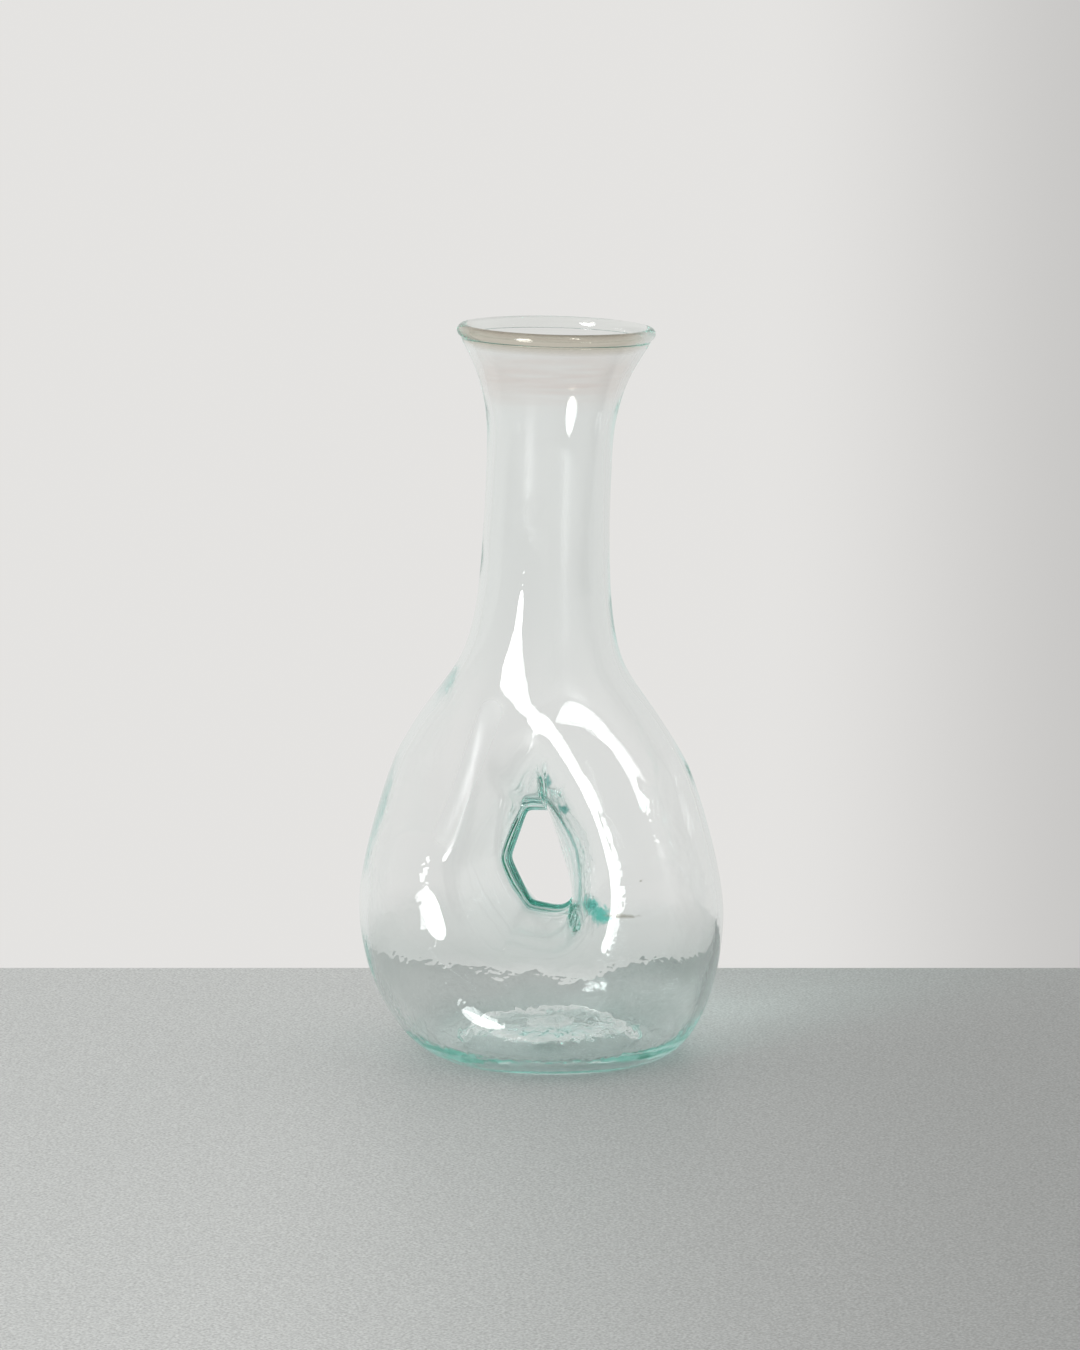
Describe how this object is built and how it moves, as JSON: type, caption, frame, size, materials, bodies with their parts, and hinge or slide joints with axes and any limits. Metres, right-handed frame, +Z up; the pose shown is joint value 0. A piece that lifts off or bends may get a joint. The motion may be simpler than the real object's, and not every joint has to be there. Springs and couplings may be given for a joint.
{
  "type": "decanter",
  "caption": "Hand-blown recycled-glass decanter with a flared mouth, tall neck and squat belly, its walls drawn in and pierced by a finger hole.",
  "frame": {"origin": "middle of the bounding box at the plane of the foot ring", "axes": "+X across the belly's width, +Y through the hole from front to back, +Z up to the mouth"},
  "size_m": [0.1452, 0.1162, 0.2823],
  "materials": {
    "recycled_glass": "clear fire-polished glass with a faint teal tint",
    "lip_glass": "clear fire-polished glass with a brownish haze",
    "pontil_glass": "rough broken glass"
  },
  "bodies": {
    "root": {"glass_body": "recycled_glass", "lip_wrap": "lip_glass", "pontil_pad": "pontil_glass"}
  },
  "joints": []
}
